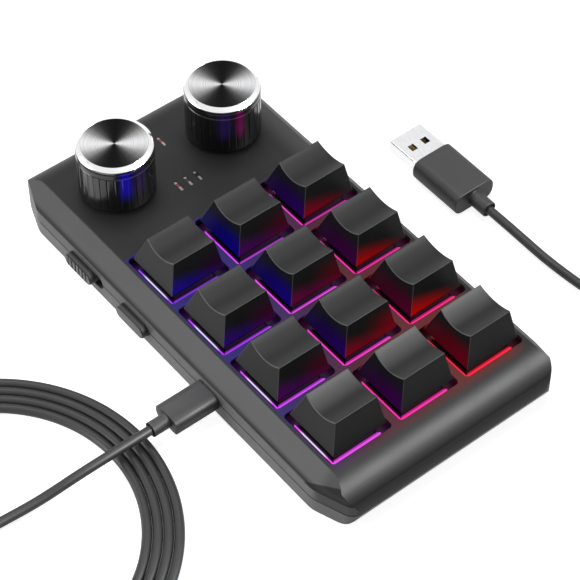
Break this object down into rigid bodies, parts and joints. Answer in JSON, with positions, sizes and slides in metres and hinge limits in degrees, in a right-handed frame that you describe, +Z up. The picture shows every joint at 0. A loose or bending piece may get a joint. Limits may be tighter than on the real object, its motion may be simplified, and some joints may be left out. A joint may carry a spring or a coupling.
{
  "type": "macro keypad",
  "caption": "Desk macro keypad with scooped keys, two push knobs, a side slide switch and button, and a coiled USB lead.",
  "frame": {"origin": "on the surface under the feet, below the middle of the casing", "axes": "+Z up, +Y from the front edge towards the knobs, +X to the right; the USB lead leaves at -X"},
  "size_m": [0.2421, 0.2057, 0.0343],
  "materials": {
    "cover_plastic": "matte, fine spark texture",
    "tray_plastic": "matte, fine spark texture",
    "cap_plastic": "matte, slightly worn on the edges",
    "guide_plastic": "milky clear, lit from below",
    "lens_plastic": "clear",
    "knob_plastic": "gloss black",
    "turned_aluminium": "turned face, polished ring",
    "control_plastic": "matte",
    "rubber": "matte",
    "cable_jacket": "satin",
    "plug_moulding": "satin",
    "plated_steel": "bright plated",
    "plate_steel": "black powder coat",
    "board": "solder mask",
    "cell_foil": "foil pouch",
    "switch_plastic": "nylon",
    "stem_plastic": "acetal",
    "spring_steel": "drawn wire",
    "screw_steel": "black oxide",
    "insert_plastic": "plain",
    "contact_brass": "gold plated"
  },
  "bodies": {
    "casing": {"upper_cover": "cover_plastic", "lower_cover": "tray_plastic", "rubber_feet": "rubber", "case_screws": "screw_steel", "switch_plate": "plate_steel", "light_guide": "guide_plastic", "main_board": "board", "battery": "cell_foil", "indicator_lenses": "lens_plastic", "switch_lower_housings": "switch_plastic", "switch_upper_housings": "switch_plastic", "key_springs": "spring_steel", "encoder_housings": "plated_steel", "slide_switch": "plated_steel", "button_switch": "plated_steel", "usb_c_socket": "plated_steel", "usb_c_plug_shell": "plated_steel", "usb_c_plug_cover": "plug_moulding", "usb_a_plug_cover": "plug_moulding", "usb_a_shell": "plated_steel", "usb_a_insert": "insert_plastic", "usb_a_contacts": "contact_brass", "cable_lead": "cable_jacket", "cable_coil": "cable_jacket", "cable_tail": "cable_jacket"},
    "key_r1c1": {"keycap_r1c1": "cap_plastic", "switch_stem_r1c1": "stem_plastic"},
    "key_r1c2": {"keycap_r1c2": "cap_plastic", "switch_stem_r1c2": "stem_plastic"},
    "key_r1c3": {"keycap_r1c3": "cap_plastic", "switch_stem_r1c3": "stem_plastic"},
    "key_r2c1": {"keycap_r2c1": "cap_plastic", "switch_stem_r2c1": "stem_plastic"},
    "key_r2c2": {"keycap_r2c2": "cap_plastic", "switch_stem_r2c2": "stem_plastic"},
    "key_r2c3": {"keycap_r2c3": "cap_plastic", "switch_stem_r2c3": "stem_plastic"},
    "key_r3c1": {"keycap_r3c1": "cap_plastic", "switch_stem_r3c1": "stem_plastic"},
    "key_r3c2": {"keycap_r3c2": "cap_plastic", "switch_stem_r3c2": "stem_plastic"},
    "key_r3c3": {"keycap_r3c3": "cap_plastic", "switch_stem_r3c3": "stem_plastic"},
    "key_r4c1": {"keycap_r4c1": "cap_plastic", "switch_stem_r4c1": "stem_plastic"},
    "key_r4c2": {"keycap_r4c2": "cap_plastic", "switch_stem_r4c2": "stem_plastic"},
    "key_r4c3": {"keycap_r4c3": "cap_plastic", "switch_stem_r4c3": "stem_plastic"},
    "rotor_left": {"encoder_rotor_left": "insert_plastic"},
    "dial_left": {"encoder_shaft_left": "plated_steel", "knob_left": "knob_plastic", "knob_disc_left": "turned_aluminium"},
    "rotor_right": {"encoder_rotor_right": "insert_plastic"},
    "dial_right": {"encoder_shaft_right": "plated_steel", "knob_right": "knob_plastic", "knob_disc_right": "turned_aluminium"},
    "slider": {"slide_knob": "control_plastic"},
    "button": {"side_button": "control_plastic"}
  },
  "joints": [
    {"name": "key_r1c1_press", "type": "slide", "parent": "casing", "child": "key_r1c1", "axis": [0, 0, -1], "range_m": [0, 0.004], "stiffness_N_per_m": 100, "springref_m": -0.004, "deforming": ["key_springs"]},
    {"name": "key_r1c2_press", "type": "slide", "parent": "casing", "child": "key_r1c2", "axis": [0, 0, -1], "range_m": [0, 0.004], "stiffness_N_per_m": 100, "springref_m": -0.004, "deforming": ["key_springs"]},
    {"name": "key_r1c3_press", "type": "slide", "parent": "casing", "child": "key_r1c3", "axis": [0, 0, -1], "range_m": [0, 0.004], "stiffness_N_per_m": 100, "springref_m": -0.004, "deforming": ["key_springs"]},
    {"name": "key_r2c1_press", "type": "slide", "parent": "casing", "child": "key_r2c1", "axis": [0, 0, -1], "range_m": [0, 0.004], "stiffness_N_per_m": 100, "springref_m": -0.004, "deforming": ["key_springs"]},
    {"name": "key_r2c2_press", "type": "slide", "parent": "casing", "child": "key_r2c2", "axis": [0, 0, -1], "range_m": [0, 0.004], "stiffness_N_per_m": 100, "springref_m": -0.004, "deforming": ["key_springs"]},
    {"name": "key_r2c3_press", "type": "slide", "parent": "casing", "child": "key_r2c3", "axis": [0, 0, -1], "range_m": [0, 0.004], "stiffness_N_per_m": 100, "springref_m": -0.004, "deforming": ["key_springs"]},
    {"name": "key_r3c1_press", "type": "slide", "parent": "casing", "child": "key_r3c1", "axis": [0, 0, -1], "range_m": [0, 0.004], "stiffness_N_per_m": 100, "springref_m": -0.004, "deforming": ["key_springs"]},
    {"name": "key_r3c2_press", "type": "slide", "parent": "casing", "child": "key_r3c2", "axis": [0, 0, -1], "range_m": [0, 0.004], "stiffness_N_per_m": 100, "springref_m": -0.004, "deforming": ["key_springs"]},
    {"name": "key_r3c3_press", "type": "slide", "parent": "casing", "child": "key_r3c3", "axis": [0, 0, -1], "range_m": [0, 0.004], "stiffness_N_per_m": 100, "springref_m": -0.004, "deforming": ["key_springs"]},
    {"name": "key_r4c1_press", "type": "slide", "parent": "casing", "child": "key_r4c1", "axis": [0, 0, -1], "range_m": [0, 0.004], "stiffness_N_per_m": 100, "springref_m": -0.004, "deforming": ["key_springs"]},
    {"name": "key_r4c2_press", "type": "slide", "parent": "casing", "child": "key_r4c2", "axis": [0, 0, -1], "range_m": [0, 0.004], "stiffness_N_per_m": 100, "springref_m": -0.004, "deforming": ["key_springs"]},
    {"name": "key_r4c3_press", "type": "slide", "parent": "casing", "child": "key_r4c3", "axis": [0, 0, -1], "range_m": [0, 0.004], "stiffness_N_per_m": 100, "springref_m": -0.004, "deforming": ["key_springs"]},
    {"name": "knob_left_turn", "type": "hinge", "parent": "casing", "child": "rotor_left", "pos_m": [-0.0189, 0.05035, 0.009], "axis": [0, 0, 1], "continuous": true},
    {"name": "knob_left_press", "type": "slide", "parent": "rotor_left", "child": "dial_left", "axis": [0, 0, -1], "range_m": [0, 0.0005], "stiffness_N_per_m": 800, "springref_m": -0.002},
    {"name": "knob_right_turn", "type": "hinge", "parent": "casing", "child": "rotor_right", "pos_m": [0.0189, 0.05035, 0.009], "axis": [0, 0, 1], "continuous": true},
    {"name": "knob_right_press", "type": "slide", "parent": "rotor_right", "child": "dial_right", "axis": [0, 0, -1], "range_m": [0, 0.0005], "stiffness_N_per_m": 800, "springref_m": -0.002},
    {"name": "power_slide", "type": "slide", "parent": "casing", "child": "slider", "axis": [0, -1, 0], "range_m": [0, 0.003]},
    {"name": "side_button_press", "type": "slide", "parent": "casing", "child": "button", "axis": [1, 0, 0], "range_m": [0, 0.0004], "stiffness_N_per_m": 400, "springref_m": -0.002}
  ]
}
